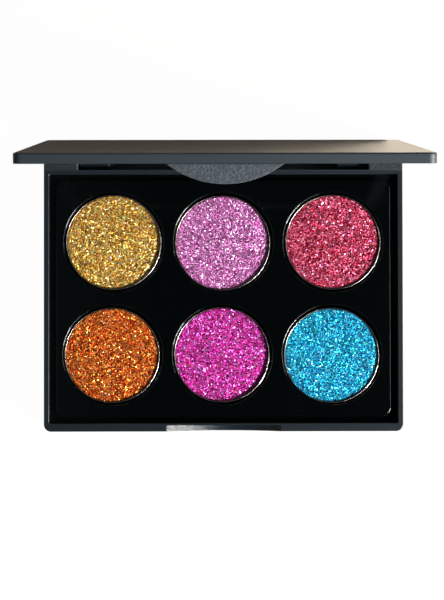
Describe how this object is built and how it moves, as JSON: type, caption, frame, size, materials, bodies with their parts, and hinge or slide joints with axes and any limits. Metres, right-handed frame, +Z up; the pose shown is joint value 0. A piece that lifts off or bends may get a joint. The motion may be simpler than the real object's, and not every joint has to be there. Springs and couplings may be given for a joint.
{
  "type": "eyeshadow palette",
  "caption": "Shallow hinged cosmetics palette with a mirror lid, a glossy tray of round wells and lift-out metal pans of pressed glitter.",
  "frame": {"origin": "centre of the case's flat underside", "axes": "+Z up out of the case, -Y towards the front with the thumb notch, +Y towards the hinge, +X along the hinge line"},
  "size_m": [0.1, 0.0821, 0.0807],
  "materials": {
    "case_plastic": "satin black moulded ABS, fine grain",
    "lid_plastic": "satin black moulded ABS, fine grain",
    "tray_plastic": "polished black",
    "mirror": "silvered glass",
    "tape": "white foam tape",
    "pin_steel": "drawn steel wire",
    "pan_metal": "bright drawn metal",
    "magnet": "dark sintered ferrite",
    "glitter_gold": "pressed metallised film glitter flakes",
    "glitter_lilac": "pressed metallised film glitter flakes",
    "glitter_red": "pressed metallised film glitter flakes",
    "glitter_orange": "pressed metallised film glitter flakes",
    "glitter_magenta": "pressed metallised film glitter flakes",
    "glitter_turquoise": "pressed metallised film glitter flakes"
  },
  "bodies": {
    "case": {"base_case": "case_plastic", "pan_tray": "tray_plastic", "hinge_pin_left": "pin_steel", "hinge_pin_right": "pin_steel", "magnet_gold": "magnet", "magnet_lilac": "magnet", "magnet_red": "magnet", "magnet_orange": "magnet", "magnet_magenta": "magnet", "magnet_turquoise": "magnet"},
    "lid": {"lid_cover": "lid_plastic", "mirror_glass": "mirror", "mirror_tape": "tape"},
    "refill_gold": {"pan_gold": "pan_metal", "glitter_gold": "glitter_gold"},
    "refill_lilac": {"pan_lilac": "pan_metal", "glitter_lilac": "glitter_lilac"},
    "refill_red": {"pan_red": "pan_metal", "glitter_red": "glitter_red"},
    "refill_orange": {"pan_orange": "pan_metal", "glitter_orange": "glitter_orange"},
    "refill_magenta": {"pan_magenta": "pan_metal", "glitter_magenta": "glitter_magenta"},
    "refill_turquoise": {"pan_turquoise": "pan_metal", "glitter_turquoise": "glitter_turquoise"}
  },
  "joints": [
    {"name": "lid_hinge", "type": "hinge", "parent": "case", "child": "lid", "pos_m": [0, 0.03575, 0.0057], "axis": [-1, 0, 0], "range_deg": [-81.3, 11.7]},
    {"name": "refill_lift_gold", "type": "slide", "parent": "case", "child": "refill_gold", "axis": [0, 0, 1], "range_m": [0, 0.015]},
    {"name": "refill_lift_lilac", "type": "slide", "parent": "case", "child": "refill_lilac", "axis": [0, 0, 1], "range_m": [0, 0.015]},
    {"name": "refill_lift_red", "type": "slide", "parent": "case", "child": "refill_red", "axis": [0, 0, 1], "range_m": [0, 0.015]},
    {"name": "refill_lift_orange", "type": "slide", "parent": "case", "child": "refill_orange", "axis": [0, 0, 1], "range_m": [0, 0.015]},
    {"name": "refill_lift_magenta", "type": "slide", "parent": "case", "child": "refill_magenta", "axis": [0, 0, 1], "range_m": [0, 0.015]},
    {"name": "refill_lift_turquoise", "type": "slide", "parent": "case", "child": "refill_turquoise", "axis": [0, 0, 1], "range_m": [0, 0.015]}
  ]
}
